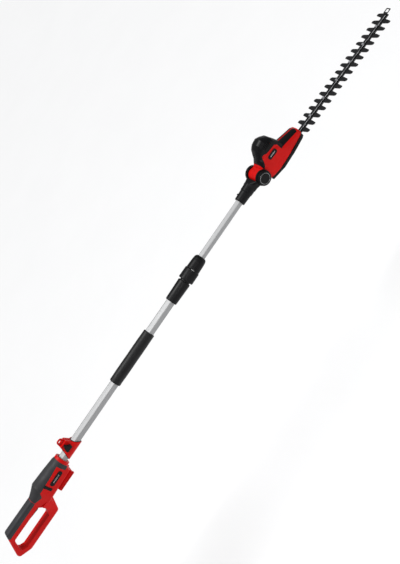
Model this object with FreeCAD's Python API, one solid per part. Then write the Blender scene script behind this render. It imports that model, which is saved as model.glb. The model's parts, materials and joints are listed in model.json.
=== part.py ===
import FreeCAD, Part
import math
import os

# A cordless telescopic pole hedge trimmer, in millimetres.
# The origin is on the tube's axis, in the middle of the foam hand grip.
# +X runs along the tube towards the blade tip, +Y to the user's left, +Z up.

V = FreeCAD.Vector
X_AXIS = V(1, 0, 0)
Y_AXIS = V(0, 1, 0)
Z_AXIS = V(0, 0, 1)

# ---- driving dimensions ----
wall = 2.6                    # thickness of the plastic housings
fit_gap = 0.06                # radial gap of a shaft in its bore

# tubes
outer_flats = 28.4            # outer tube, across its flats
outer_corner = 3.6
outer_wall = 1.5
outer_rear = -468.0
outer_front = 318.0
inner_flats = 22.6
inner_corner = 3.0
inner_wall = 1.4
inner_rear = 60.0
inner_front = 652.0
foam_length = 193.0
foam_radius = 19.5

# rear handle
handle_front = -384.0
collar_radius = 25.2
collar_length = 10.0
loop_half_width = 15.5
loop_edge = 8.5
grip_top = 17.0
trigger_pivot = (-662.0, -13.0)
trigger_front = -560.0
rail_half_width = 27.0
rail_x = (-473.0, -403.0)
rail_z = (-50.0, -33.0)
lock_x = (-487.5, -478.0)
lock_z = (-15.0, 15.0)

# strap bracket
bracket_x = -341.0
eye_height = 43.6
eye_radius = 6.2
eye_thickness = 6.0
bracket_bolt_height = 23.0
bracket_half_length = 36.0
bracket_radius = 19.4

# telescope clamp
clamp_rear = 215.0
clamp_groove = 293.0
clamp_front = 385.0
nut_inner_radius = 17.6

# tilt joint
pivot_x = 698.0
knuckle_radius = 21.0
knuckle_y = (-25.0, 22.8)
ear_radius = 26.0
near_ear_y = (-32.6, -25.6)
far_ear_y = (23.4, 33.6)
knob_y = (-43.0, -33.0)
knob_radius = 24.2
pivot_bolt_radius = 4.0
socket_rear = 595.0

# cutting head, in its own frame: x from the tilt axis, tipped down by head_pitch
head_pitch = 2.3
blade_plane = -30.0
blade_thickness = 2.0
blade_gap = 0.3
blade_half_width = 9.0
blade_end = 668.0
tooth_reach = 36.8
tooth_pitch = 28.6
tooth_count = 16
right_tooth_start = 206.35
left_tooth_start = 226.2
tooth_root_half = 7.8
tooth_mid_half = 6.7
tooth_tip_half = 4.2
blade_throw = 7.0             # each blade moves this far either way
blade_lag = 1.75              # how far each blade is from mid-stroke at rest
bar_half_width = 5.6
bar_thickness = 3.4
bar_start = 147.0
bar_end = 664.0
post_x = (152.0, 160.0)       # posts that carry the guide bar
post_y = (10.0, 15.5)
bolt_start = 254.0
bolt_pitch = 71.0
bolt_count = 6
bolt_sleeve_radius = 3.1

# drive
gear_module = 0.9
gear_teeth = 54
pinion_teeth = 11
motor_x = 77.0
motor_radius = 18.0
motor_z = -2.4                # underside of the motor's can
gear_z = (-19.5, -12.5)
base_z = (-36.5, -34.0)       # gearbox base
plate_z = (-6.5, -2.5)        # plate that carries the motor
eccentric_radius = 11.5
crank_shaft_radius = 4.0
gear_x = motor_x + gear_module * (gear_teeth + pinion_teeth) / 2


# ---- helpers ----
def box(x, y, z):
    """A block between the pairs of limits x, y and z."""
    return Part.makeBox(x[1] - x[0], y[1] - y[0], z[1] - z[0], V(x[0], y[0], z[0]))


def rod(radius, start, axis, length):
    return Part.makeCylinder(radius, length, V(*start), axis)


def pipe(outer, inner, start, axis, length):
    return rod(outer, start, axis, length).cut(rod(inner, start, axis, length))


def joined(shapes):
    result = shapes[0]
    for shape in shapes[1:]:
        result = result.fuse(shape)
    return result.removeSplitter()


def mirrored(shape):
    """The same shape on the other side of the middle plane."""
    return shape.mirror(V(0, 0, 0), Y_AXIS)


def rounded_wire(corners, to_point):
    """A closed outline of straight runs, each corner (u, v, radius) rounded by an arc."""
    count = len(corners)
    runs = []
    for i in range(count):
        u, v, radius = corners[i]
        here = V(u, v, 0)
        back = (V(*corners[i - 1][:2], 0) - here).normalize()
        ahead = (V(*corners[(i + 1) % count][:2], 0) - here).normalize()
        half_angle = back.getAngle(ahead) / 2
        if radius < 0.01:
            runs.append((here, None, here))
            continue
        reach = radius / math.tan(half_angle)
        middle = (back + ahead).normalize()
        depth = radius / math.sin(half_angle) - radius
        runs.append((here + back * reach, here + middle * depth, here + ahead * reach))
    edges = []
    for i in range(count):
        start, middle, end = runs[i]
        if middle is not None:
            edges.append(Part.Arc(to_point(start), to_point(middle), to_point(end)).toShape())
        following = runs[(i + 1) % count][0]
        if (following - end).Length > 1e-4:
            edges.append(Part.LineSegment(to_point(end), to_point(following)).toShape())
    return Part.Wire(edges)


def side_plate(corners, half_width, edge=0.0):
    """A side outline in x and z, extruded both ways from the middle plane, long edges rounded."""
    wire = rounded_wire(corners, lambda p: V(p.x, -half_width, p.y))
    solid = Part.Face(wire).extrude(V(0, 2 * half_width, 0))
    if edge:
        rims = [e for e in solid.Edges if abs(abs(e.CenterOfMass.y) - half_width) < 0.01]
        solid = solid.makeFillet(edge, rims)
    return solid


def flat_plate(corners, z):
    """An outline in x and y, extruded between the two heights z."""
    wire = rounded_wire(corners, lambda p: V(p.x, p.y, z[0]))
    return Part.Face(wire).extrude(V(0, 0, z[1] - z[0]))


def section(x, half_width, low, high, low_radius, high_radius):
    corners = [(-half_width, low, low_radius), (half_width, low, low_radius),
               (half_width, high, high_radius), (-half_width, high, high_radius)]
    return rounded_wire(corners, lambda p: V(x, p.x, p.y))


def tunnel(sections):
    """A solid along X through sections (x, half width, low, high, low radius, high radius)."""
    return Part.makeLoft([section(*s) for s in sections], True, True)


def inset(sections, thickness):
    """The same sections, smaller by the thickness all round and at both ends."""
    smaller = []
    for i, (x, half, low, high, low_radius, high_radius) in enumerate(sections):
        if i == 0:
            x = x + thickness
        if i == len(sections) - 1:
            x = x - thickness
        smaller.append((x, half - thickness, low + thickness, high - thickness,
                        max(low_radius - thickness, 0.8), max(high_radius - thickness, 0.8)))
    return smaller


def hexagon(x, flats, corner):
    """A hexagonal bar along X with its corners up and down and its flats at the sides."""
    side = flats / math.sqrt(3)
    corners = []
    for i in range(6):
        angle = math.radians(90 + 60 * i)
        corners.append((side * math.cos(angle), side * math.sin(angle), corner))
    wire = rounded_wire(corners, lambda p: V(x[0], p.x, p.y))
    return Part.Face(wire).extrude(V(x[1] - x[0], 0, 0))


def turned(profile, axis_point, axis):
    """A turned shape: the profile's (along, radius) points, turned about the axis."""
    side = V(0, 0, 1) if abs(axis.z) < 0.5 else V(1, 0, 0)
    points = [V(*axis_point) + axis * along + side * radius for along, radius in profile]
    wire = Part.makePolygon(points + [points[0]])
    return Part.Face(wire).revolve(V(*axis_point), axis, 360)


def screw(point, axis, length, head_radius=3.6):
    """A pan-head screw whose head's underside is at the point and whose shank runs along the axis."""
    head = rod(head_radius, point, axis * -1, 2.2)
    socket = rod(1.6, point, axis * -1, 2.2)
    socket.translate(axis * -1.0)
    return head.cut(socket).fuse(rod(1.7, point, axis, length))


def sunk_screws(name, places, saver):
    """Screws through the left half of a housing into the right; gives back their bosses and their spaces.

    Each place is x, z and how far the head's seat is from the middle plane."""
    screws = []
    bosses = []
    spaces = []
    for x, z, depth in places:
        screws.append(mirrored(screw((x, -depth, z), Y_AXIS, depth + 6, 3.0)))
        bosses.append(rod(5.4, (x, -40, z), Y_AXIS, 80))
        spaces.extend([screws[-1], rod(4.0, (x, depth, z), Y_AXIS, 30)])
    saver(name, Part.makeCompound(screws))
    return joined(bosses), joined(spaces)


def gear_wheel(teeth, z, centre_x, turn, backlash=0.12):
    """A spur gear with straight-sided teeth about a vertical axis."""
    pitch_radius = gear_module * teeth / 2
    root = pitch_radius - 1.2 * gear_module
    tip = pitch_radius + 0.9 * gear_module
    half_pitch = math.pi / teeth
    narrow = backlash / pitch_radius
    points = []
    for i in range(teeth):
        middle = turn + 2 * math.pi * i / teeth
        for radius, share in ((root, -0.72), (tip, -0.24), (tip, 0.24), (root, 0.72)):
            angle = middle + share * half_pitch - math.copysign(narrow, share)
            points.append(V(centre_x + radius * math.cos(angle), radius * math.sin(angle), z[0]))
    face = Part.Face(Part.makePolygon(points + [points[0]]))
    return face.extrude(V(0, 0, z[1] - z[0]))


def save(name, shape):
    shape.exportStep("parts/" + name + ".step")


def save_head(name, shape):
    """Places a piece of the cutting head on the tilt axis, tipped down, and writes it."""
    placed = shape.copy()
    placed.rotate(V(0, 0, 0), Y_AXIS, head_pitch)
    placed.translate(V(pivot_x, 0, 0))
    save(name, placed)


# ---- rear handle ----
loop_outline = [(-681, grip_top, 12), (-735, -72, 12), (-690, -94, 24), (-538, -94, 12),
                (-500, -36, 10), (-470, -30, 4), (-470, grip_top - 2, 4)]
loop_hole = [(-683, -17.5, 8), (-709, -61, 9), (-690, -72.5, 12), (-566, -72.5, 9),
             (-546, -43, 9), (-557, -19.0, 8)]
body_sections = [(-552, 15.4, -26, 15.0, 9, 12), (-528, 22, -44, 22.5, 9, 17),
                 (-504, 28, -38, 33, 9, 23), (-450, 28.5, -35.5, 30, 9, 24),
                 (-404, 27.5, -34.5, 26.5, 10, 24), (-394, 25.2, -25.2, 25.2, 25.0, 25.0)]
handle_screw_places = [(-714, -73, 9), (-640, -83, 9), (-566, -83, 9), (-536, -62, 9), (-706.5, -44, 9),
                       (-508, -30, 18), (-400, -24, 14)]
column_levels = [(-86, -561, -540, 14.2), (-60, -556, -522, 17), (-30, -550, -503, 23)]


def column_solid():
    """The flared post between the body and the lower bar."""
    wires = []
    for z, rear, front, half in column_levels:
        corners = [(rear, -half, 7), (front, -half, 7), (front, half, 7), (rear, half, 7)]
        wires.append(rounded_wire(corners, lambda p, z=z: V(p.x, p.y, z)))
    return Part.makeLoft(wires, True, True)


def handle_outside():
    loop = side_plate(loop_outline, loop_half_width, loop_edge)
    hole_depth = loop_half_width + 20
    hole = side_plate(loop_hole, hole_depth)
    body = tunnel(body_sections)
    return joined([loop, body, column_solid()]).cut(hole)


def inset_ring(outline, hole, thickness, half_width):
    """The outline less the hole, both drawn in by the thickness, as a slab about the middle plane."""
    outer = Part.Face(rounded_wire(outline, lambda p: V(p.x, -half_width, p.y))).makeOffset2D(-thickness)
    inner = Part.Face(rounded_wire(hole, lambda p: V(p.x, -half_width, p.y))).makeOffset2D(thickness)
    return outer.cut(inner).extrude(V(0, 2 * half_width, 0))


def handle_inside():
    """The space that the handle's shells enclose."""
    wide = inset_ring(loop_outline, loop_hole, 6.5, loop_half_width - wall)
    narrow = inset_ring(loop_outline, loop_hole, wall, loop_half_width - 7)
    body = tunnel(inset(body_sections, wall))
    guard = Part.Face(rounded_wire(loop_hole, lambda p: V(p.x, -40, p.y))).makeOffset2D(wall)
    return joined([wide, narrow, body.cut(guard.extrude(V(0, 80, 0)))])


def side_region(corners, depth=60):
    """All of the space behind a side outline, to cut a housing with."""
    return side_plate([(x, z, 0) for x, z in corners], depth)


def halves(shell):
    left = shell.common(box((-900, 900), (0, 90), (-200, 200)))
    right = shell.common(box((-900, 900), (-90, 0), (-200, 200)))
    return left, right


def pin_rod():
    """The trigger's pin, which sits across both shells."""
    return rod(2.0, (trigger_pivot[0], -12.4, trigger_pivot[1]), Y_AXIS, 24.8)


def rear_handle():
    outside = handle_outside()
    space = handle_inside()
    grip_zone = side_region([(-694, 40), (-690, 2), (-684, -2), (-550, -2), (-546, 40)])
    cover_zone = side_region([(-544.4, 60), (-548.4, 0), (-520, -4), (-508, 13), (-410, 17), (-408, -14),
                              (-394.2, -16), (-394.2, 60)])
    tube_way = rod(17.2, (-480, 0, 0), X_AXIS, 120)
    trigger_way = box((-671, -556), (-6.2, 6.2), (-40, -8))
    lock_way = box((lock_x[0] - 0.5, lock_x[1] + 0.5), (-40, 0), (lock_z[0] - 0.5, lock_z[1] + 0.5))
    bosses, screw_spaces = sunk_screws("handle_screws", handle_screw_places, save)
    shell = outside.cut(space).fuse(bosses.common(outside))
    shell = shell.cut(tube_way).cut(trigger_way).cut(lock_way).cut(screw_spaces).cut(handle_plates())
    shell = shell.cut(pin_rod())
    save("grip_cover", shell.common(grip_zone))
    save("top_cover", shell.common(cover_zone))
    left, right = halves(shell.cut(grip_zone).cut(cover_zone))
    save("handle_shell_left", left)
    save("handle_shell_right", right)
    collar = pipe(collar_radius, 17.2, (-393.9, 0, 0), X_AXIS, collar_length)
    rim = [e for e in collar.Edges if e.CenterOfMass.x > handle_front - 1 and e.Length > 150]
    save("front_collar", collar.makeFillet(2.0, rim))


def battery_mount():
    half = rail_half_width
    corners = [(-half, rail_z[0], 2), (half, rail_z[0], 2), (half, -41, 1.5), (20, -34.6, 1),
               (-20, -34.6, 1), (-half, -41, 1.5)]
    face = Part.Face(rounded_wire(corners, lambda p: V(rail_x[0], p.x, p.y)))
    rail = face.extrude(V(rail_x[1] - rail_x[0], 0, 0))
    groove_x = (rail_x[0] + 6, rail_x[1] + 5)
    for side in (-1, 1):
        y = sorted((side * (half - 3), side * (half + 5)))
        rail = rail.cut(box(groove_x, y, (-46.5, -43.0)))
    pocket = box((rail_x[0] + 12, rail_x[1] + 5), (-17, 17), (rail_z[0] - 5, -44.0))
    rail = rail.cut(pocket).cut(handle_outside())
    save("battery_rail", rail)
    contacts = [box((rail_x[0] + 14, rail_x[0] + 34), (y - 0.5, y + 0.5), (-49.0, -44.0)) for y in (-12, -4, 4, 12)]
    save("battery_contacts", Part.makeCompound(contacts))


def handle_plates():
    """Plain inset plates on both sides of the body."""
    plates = []
    for side in (-1, 1):
        corners = [(-471, -12.0, 6.6), (-416, -12.0, 6.6), (-416, 4.0, 6.6), (-471, 4.0, 6.6)]
        face = Part.Face(rounded_wire(corners, lambda p: V(p.x, side * 27.2, p.y)))
        plates.append(face.extrude(V(0, side * 2.2, 0)))
    group = Part.makeCompound(plates)
    save("handle_plates", group)
    return group


def handle_inner_parts():
    switch = box((-549, -524), (-7, 7), (-8, 9)).fuse(box((-553, -549), (-3, 3), (-6, -2)))
    save("switch_module", switch)
    board = box((-520, -478), (-17, 17), (-24.0, -22.4))
    parts = [board, rod(4, (-510, 8, -22.4), Z_AXIS, 12), rod(4, (-499, 8, -22.4), Z_AXIS, 12),
             box((-516, -500), (-13, -2), (-22.4, -15)), box((-494, -482), (-12, 12), (-22.4, -19))]
    save("control_board", joined(parts))
    sleeve = pipe(17.1, 16.45, (-473, 0, 0), X_AXIS, 86)
    plug = rod(16.45, (-473, 0, 0), X_AXIS, 4).cut(rod(8.4, (-473, 0, 0), X_AXIS, 4))
    sleeve = sleeve.fuse(plug)
    save("tube_sleeve", sleeve)


def trigger_parts():
    px, pz = trigger_pivot
    corners = [(px - 6, pz + 5, 3), (px - 6, pz - 7, 4), (px + 10, -24.5, 8), (-610, -26.0, 30),
               (trigger_front - 4, -30.5, 5), (trigger_front + 1, -25.0, 3), (trigger_front + 1, -12.0, 3),
               (-600, -10.5, 6)]
    trigger = side_plate(corners, 5.7, 2.2).cut(rod(2.0 + fit_gap, (px, -10, pz), Y_AXIS, 20))
    save("trigger", trigger)
    save("trigger_pin", pin_rod())
    save("trigger_spring", pipe(3.6, 2.2, (-575, 0, -11.2), Z_AXIS, 14))
    button = box(lock_x, (-30.6, -24.4), lock_z)
    rims = [e for e in button.Edges if e.CenterOfMass.y < -24.5]
    button = button.makeFillet(1.6, rims)
    stem = rod(2.5, ((lock_x[0] + lock_x[1]) / 2, -25, 0), Y_AXIS, 5)
    flange = box((lock_x[0] - 2, lock_x[1] + 2), (-24.4, -22.9), (lock_z[0] - 2, lock_z[1] - 4))
    save("lock_button", joined([button, flange, stem]))
    save("lock_spring", pipe(4.0, 3.0, ((lock_x[0] + lock_x[1]) / 2, -22.7, 0), Y_AXIS, 5.0))


# ---- tubes, foam grip and telescope clamp ----
def tubes():
    outer = hexagon((outer_rear, outer_front), outer_flats, outer_corner)
    bore_flats = outer_flats - 2 * outer_wall
    outer = outer.cut(hexagon((outer_rear, outer_front), bore_flats, outer_corner - outer_wall))
    save("outer_tube", outer)
    inner = hexagon((inner_rear, inner_front), inner_flats, inner_corner)
    inner_bore = inner_flats - 2 * inner_wall
    inner = inner.cut(hexagon((inner_rear, inner_front), inner_bore, inner_corner - inner_wall))
    save("inner_tube", inner)
    grip = rod(foam_radius, (-foam_length / 2, 0, 0), X_AXIS, foam_length)
    grip = grip.makeFillet(1.5, [e for e in grip.Edges if abs(e.Length - 2 * math.pi * foam_radius) < 0.1])
    save("foam_grip", grip.cut(hexagon((-200, 200), outer_flats, outer_corner)))
    head = hexagon((inner_rear - 6, inner_rear), bore_flats - 0.6, outer_corner - outer_wall)
    stem = hexagon((inner_rear, inner_rear + 25), inner_bore, inner_corner - inner_wall)
    plug = head.fuse(stem).cut(rod(4.5, (inner_rear - 10, 0, 0), X_AXIS, 40))
    save("tube_plug", plug)
    lead = rod(7.5, (outer_rear + 6, 0, 0), X_AXIS, inner_rear - 8 - outer_rear - 6)
    save("coiled_lead", lead)
    save("inner_lead", rod(3.4, (inner_rear + 26, 0, 0), X_AXIS, inner_front - inner_rear - 30))


def telescope_clamp():
    sleeve = turned([(0, 0), (0, 18.6), (2, 19.6), (60, 21.0), (74, 21.3), (76, 20.3), (76, 0)],
                    (clamp_rear, 0, 0), X_AXIS)
    neck = rod(17.2, (clamp_rear + 70, 0, 0), X_AXIS, 62)
    tube_hole = hexagon((clamp_rear - 5, outer_front), outer_flats, outer_corner)
    inner_hole = hexagon((outer_front - 1, clamp_front), inner_flats + 0.7, inner_corner)
    slots = []
    for i in range(3):
        slot = box((outer_front + 4, clamp_front), (-0.8, 0.8), (0, 30))
        slot.rotate(V(0, 0, 0), X_AXIS, 120 * i)
        slots.append(slot)
    body = joined([sleeve, neck]).cut(tube_hole).cut(inner_hole)
    for slot in slots:
        body = body.cut(slot)
    save("clamp_sleeve", body)
    start = clamp_groove + 2
    profile = [(0, 0), (0, 23.2), (2, 25.1), (38, 24.8), (40, 23.4), (41, 22.5), (72, 21.4), (81, 20.4),
               (86, 18.6), (89, 15.6), (90, 14.2), (90, 0)]
    nut = turned(profile, (start, 0, 0), X_AXIS)
    bore = rod(nut_inner_radius, (start - 1, 0, 0), X_AXIS, 55)
    exit_hole = rod(14.0, (start, 0, 0), X_AXIS, 100)
    nut = nut.cut(bore).cut(exit_hole)
    for i in range(12):
        groove = rod(1.5, (start + 5, 26.0, 0), X_AXIS, 29)
        groove.rotate(V(0, 0, 0), X_AXIS, 30 * i + 15)
        nut = nut.cut(groove)
    save("clamp_nut", nut)


# ---- strap bracket ----
def bracket_outline(extra):
    """The bell shape of the bracket from the side, its skirt longer by the extra at both ends."""
    levels = [(-18.5, 35, 3), (-6, 31, 30), (12, 22, 20), (26, 17.5, 14), (40, 12.5, 14), (53, 9.8, 9.4)]
    right = [(bracket_x + half + extra, z, radius) for z, half, radius in levels]
    left = [(bracket_x - half - extra, z, radius) for z, half, radius in reversed(levels)]
    return right + left


def strap_bracket():
    half = bracket_half_length
    corners = bracket_outline(0)
    outline = side_plate(corners, 40)
    collar = rod(bracket_radius, (bracket_x - half, 0, 0), X_AXIS, 2 * half)
    ears = side_plate(corners, 12.5, 2.0).common(box((-500, 0), (-20, 20), (8, 36.5)))
    top = side_plate(corners, eye_thickness / 2, 1.2).common(box((-500, 0), (-20, 20), (36, 60)))
    boss = rod(7.5, (bracket_x, -17.1, bracket_bolt_height), Y_AXIS, 8)
    body = joined([collar.common(outline), ears, top, boss])
    body = body.cut(rod(16.9, (bracket_x - 50, 0, 0), X_AXIS, 100))
    body = body.cut(box((bracket_x - 50, bracket_x + 50), (-1.2, 1.2), (0, 34)))
    body = body.cut(rod(3.2, (bracket_x, -30, bracket_bolt_height), Y_AXIS, 60))
    body = body.cut(rod(eye_radius, (bracket_x, -30, eye_height), Y_AXIS, 60))
    save("strap_bracket", body)
    liner = rod(16.8, (bracket_x - 50, 0, 0), X_AXIS, 100).common(side_plate(bracket_outline(1.5), 40))
    liner = liner.cut(hexagon((bracket_x - 50, bracket_x + 50), outer_flats + 0.6, outer_corner))
    save("bracket_liner", liner)
    bolt = rod(3.0, (bracket_x, -26.8, bracket_bolt_height), Y_AXIS, 42.8)
    bolt = bolt.fuse(rod(6.5, (bracket_x, 12.6, bracket_bolt_height), Y_AXIS, 4.4))
    save("bracket_bolt", bolt)
    knob_start = -28.4
    knob_depth = 11.0
    knob = rod(9.0, (bracket_x, knob_start, bracket_bolt_height), Y_AXIS, knob_depth)
    for i in range(3):
        lobe = rod(5.6, (bracket_x, knob_start, bracket_bolt_height + 8), Y_AXIS, knob_depth)
        lobe.rotate(V(bracket_x, 0, bracket_bolt_height), Y_AXIS, 120 * i)
        knob = knob.fuse(lobe)
    knob = knob.removeSplitter()
    rims = [e for e in knob.Edges if e.CenterOfMass.y < knob_start + 0.1]
    knob = knob.makeFillet(1.2, rims)
    save("bracket_knob", knob.cut(rod(3.0 + fit_gap, (bracket_x, -27.0, bracket_bolt_height), Y_AXIS, 20)))


# ---- fork and tilt joint ----
def fork():
    socket = turned([(0, 0), (0, 16.4), (2, 17.6), (34, 18.6), (38, 20.2), (62, 20.6), (62, 0)],
                    (socket_rear, 0, 0), X_AXIS)
    web_levels = [(650, 19.6, 18.6, 12), (661, 22.0, 17.0, 12), (675.5, 32.6, 11.5, 8)]
    wires = [section(x, half, -high, high, radius, radius) for x, half, high, radius in web_levels]
    web = Part.makeLoft(wires, True, True)
    pieces = [socket, web]
    for y in (near_ear_y, far_ear_y):
        disc = rod(ear_radius, (pivot_x, y[0], 0), Y_AXIS, y[1] - y[0])
        arm = box((673.5, pivot_x), y, (-10.5, 10.5))
        pieces.append(disc.fuse(arm))
    solid = joined(pieces)
    clear = rod(knuckle_radius + 1.2, (pivot_x, near_ear_y[1], 0), Y_AXIS, far_ear_y[0] - near_ear_y[1])
    solid = solid.cut(clear)
    solid = solid.cut(box((675, 740), (near_ear_y[1], far_ear_y[0]), (-40, 40)))
    solid = solid.cut(hexagon((socket_rear - 5, inner_front), inner_flats, inner_corner))
    solid = solid.cut(rod(5.5, (inner_front - 1, 0, 0), X_AXIS, 30))
    solid = solid.cut(rod(pivot_bolt_radius + 0.05, (pivot_x, -60, 0), Y_AXIS, 120))
    places = [(x, z, 8) for x in (612, 640) for z in (-14.8, 14.8)]
    solid = solid.cut(sunk_screws("fork_screws", places, save)[1])
    left, right = halves(solid)
    save("fork_left", left)
    save("fork_right", right)
    cap = turned([(0, 0), (0, 22.5), (1.6, 22.5), (3.2, 20.5), (4.0, 17), (4.0, 0)],
                 (pivot_x, far_ear_y[1], 0), Y_AXIS)
    head_room = rod(7.2, (pivot_x, far_ear_y[1] - 1, 0), Y_AXIS, 4.2)
    save("fork_cap", cap.cut(head_room))
    bolt = rod(pivot_bolt_radius, (pivot_x, -40.0, 0), Y_AXIS, 40.0 + far_ear_y[1] + 0.5)
    bolt = bolt.fuse(rod(7.0, (pivot_x, far_ear_y[1], 0), Y_AXIS, 3.0))
    save("pivot_bolt", bolt)


def tilt_knob():
    depth = knob_y[1] - knob_y[0]
    profile = [(0, 0), (0, 15.5), (1.2, 17.0), (1.2, 18.6), (0, 20.2), (0, 22.0), (1.8, 24.0), (depth, knob_radius),
               (depth, 0)]
    knob = turned(profile, (pivot_x, knob_y[0], 0), Y_AXIS)
    for i in range(20):
        notch = rod(1.3, (pivot_x + knob_radius + 0.5, knob_y[0] + 3.0, 0), Y_AXIS, 20)
        notch.rotate(V(pivot_x, 0, 0), Y_AXIS, 18 * i)
        knob = knob.cut(notch)
    core = rod(8.0, (pivot_x, knob_y[0] + 2.5, 0), Y_AXIS, depth)
    save("tilt_knob", knob.cut(core))
    insert = rod(8.0, (pivot_x, knob_y[0] + 2.5, 0), Y_AXIS, depth - 2.5)
    save("knob_insert", insert.cut(rod(pivot_bolt_radius + fit_gap, (pivot_x, knob_y[0] + 2.8, 0), Y_AXIS, 20)))


def serrated_ring(inner, outer, base, teeth_side):
    """A ring of radial teeth about the tilt axis; its base is a pair of y limits."""
    ring = pipe(outer, inner, (0, base[0], 0), Y_AXIS, base[1] - base[0])
    teeth = []
    for i in range(24):
        y = base[1] if teeth_side > 0 else base[0]
        half = 0.9
        wire = Part.makePolygon([V(inner + 0.3, y, -half), V(inner + 0.3, y, half),
                                 V(inner + 0.3, y + teeth_side * 0.9, 0), V(inner + 0.3, y, -half)])
        tooth = Part.Face(wire).extrude(V(outer - inner - 0.6, 0, 0))
        tooth.rotate(V(0, 0, 0), Y_AXIS, 15 * i)
        teeth.append(tooth)
    return joined([ring] + teeth)


# ---- cutting head ----
head_sections = [(14, 23.0, -32.7, 19.8, 6, 10), (34, 27.5, -34.6, 39.4, 5, 13), (60, 30, -35.5, 45, 4, 14),
                 (100, 30, -32.7, 38.3, 4, 18), (114, 29.2, -31.5, 20.5, 4, 26), (150, 26.5, -28.1, 11.9, 4, 24.5),
                 (181, 23.5, -25.0, 4.3, 4, 20), (190.5, 19.0, -23.9, -2.8, 4, 13)]
dome_sections = [(24.5, 15, 0, 32.6, 4, 11), (39, 22, 0, 57.3, 4, 17), (48, 25.5, 0, 70.7, 4, 22),
                 (62.5, 28, 0, 79.9, 4, 24), (81.5, 28.6, 0, 83.1, 4, 25), (94.5, 28, 0, 76.4, 4, 25),
                 (107, 26.5, 0, 66.2, 4, 23), (117.5, 23.5, 0, 40, 4, 20), (123.5, 20.5, 0, 19.9, 4, 15)]
base_sections = [(22, 23.5, -44.9, -33.9, 4, 1), (73, 31.0, -46.3, -34.3, 4, 1), (130, 29.8, -42.5, -29.8, 4, 1),
                 (181, 24.0, -38.5, -25.0, 4, 1), (189, 20.5, -36.8, -23.9, 4, 1)]
cover_line = [(22.5, 8), (33, 20), (46.5, 45.5), (53, 46.5), (64, 41.4), (99, 38.8), (105, 31.2), (124.5, 19.0),
              (124.5, 120), (22.5, 120)]
inlay_line = [(107, 8.5), (181.5, -5.5), (186, -1), (181, 30), (107, 50)]
head_screw_places = [(29.4, -14, 17), (43, 13, 17), (101, 24, 17), (174, -7, 13), (46, -26, 19)]


def head_outside():
    knuckle = rod(knuckle_radius, (0, knuckle_y[0], 0), Y_AXIS, knuckle_y[1] - knuckle_y[0])
    neck = box((0, 30), knuckle_y, (-20.0, 19.0))
    body = joined([tunnel(head_sections), tunnel(dome_sections)])
    ear_room = rod(ear_radius + 1.2, (0, -50, 0), Y_AXIS, 100)
    return joined([body.cut(ear_room), knuckle, neck.common(rod(34, (0, -50, 0), Y_AXIS, 100))])


def head_inside():
    main = [s for s in head_sections if s[0] > 30]
    dome = [s for s in dome_sections if s[0] > 30]
    return joined([tunnel(inset(main, wall)), tunnel(inset(dome, wall))])


def blade_way():
    """The slot in the nose that the blades and the guide bar come out of."""
    return box((150, 200), (-12, 12), (blade_plane - 3.2, blade_plane + 7.0))


def vents():
    """Slots in the motor cover's rear slope and sides that let the fan's air out."""
    slots = [box((20, 46), (-12, 12), (z, z + 2.4)) for z in (36, 42, 48, 54)]
    slots += [box((x, x + 2.4), (-40, 40), (52, 64)) for x in (68, 74, 80, 86, 92)]
    return slots


def bottom_cover():
    cover = tunnel(base_sections)
    inner = [(x, half, low, high + 6, low_radius, high_radius)
             for x, half, low, high, low_radius, high_radius in inset(base_sections, wall)]
    cover = cover.cut(tunnel(inner)).cut(tunnel(head_sections)).cut(blade_way())
    save_head("bottom_cover", cover.cut(rod(ear_radius + 1.2, (0, -50, 0), Y_AXIS, 100)))


def head_shells():
    outside = head_outside()
    shell = outside.cut(head_inside())
    shell = shell.cut(rod(pivot_bolt_radius + fit_gap, (0, -50, 0), Y_AXIS, 100))
    shell = shell.cut(blade_way())
    shell = shell.cut(box((38, 148), (-24.2, 24.2), (-60, -22))).cut(box((140, 184), (-20, 20), (-60, -20)))
    bosses, screw_spaces = sunk_screws("head_screws", head_screw_places, save_head)
    shell = shell.fuse(bosses.common(outside)).cut(screw_spaces).cut(head_plates())
    for y in (knuckle_y[0], knuckle_y[1] - 2.2):
        shell = shell.cut(rod(15.2, (0, y - 0.01, 0), Y_AXIS, 2.21))
    cover_zone = side_region(cover_line)
    inlay_zone = side_region(inlay_line)
    band = box((100, 200), (-40, -2.4), (-20, 60)).fuse(box((100, 200), (2.4, 40), (-20, 60)))
    inlays = shell.cut(cover_zone).common(inlay_zone.common(band))
    cover = shell.common(cover_zone)
    for slot in vents():
        cover = cover.cut(slot)
    save_head("motor_cover", cover)
    save_head("side_inlays", inlays)
    left, right = halves(shell.cut(cover_zone).cut(inlay_zone.common(band)))
    save_head("head_shell_left", left)
    save_head("head_shell_right", right)
    ring = serrated_ring(6.5, 15.0, (knuckle_y[0] + 0.7, knuckle_y[0] + 2.2), -1)
    save_head("serrated_disc", ring)
    save_head("tilt_spring", pipe(13.0, 7.0, (0, knuckle_y[1] - 2.0, 0), Y_AXIS, 1.6))


def head_plates():
    plates = []
    for side in (-1, 1):
        corners = [(55.5, 16, 6.4), (93.5, 16, 6.4), (93.5, 32, 6.4), (55.5, 32, 6.4)]
        face = Part.Face(rounded_wire(corners, lambda p: V(p.x, side * 28.6, p.y)))
        plates.append(face.extrude(V(0, side * 2.0, 0)))
    group = Part.makeCompound(plates)
    save_head("head_plates", group)
    return group


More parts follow.
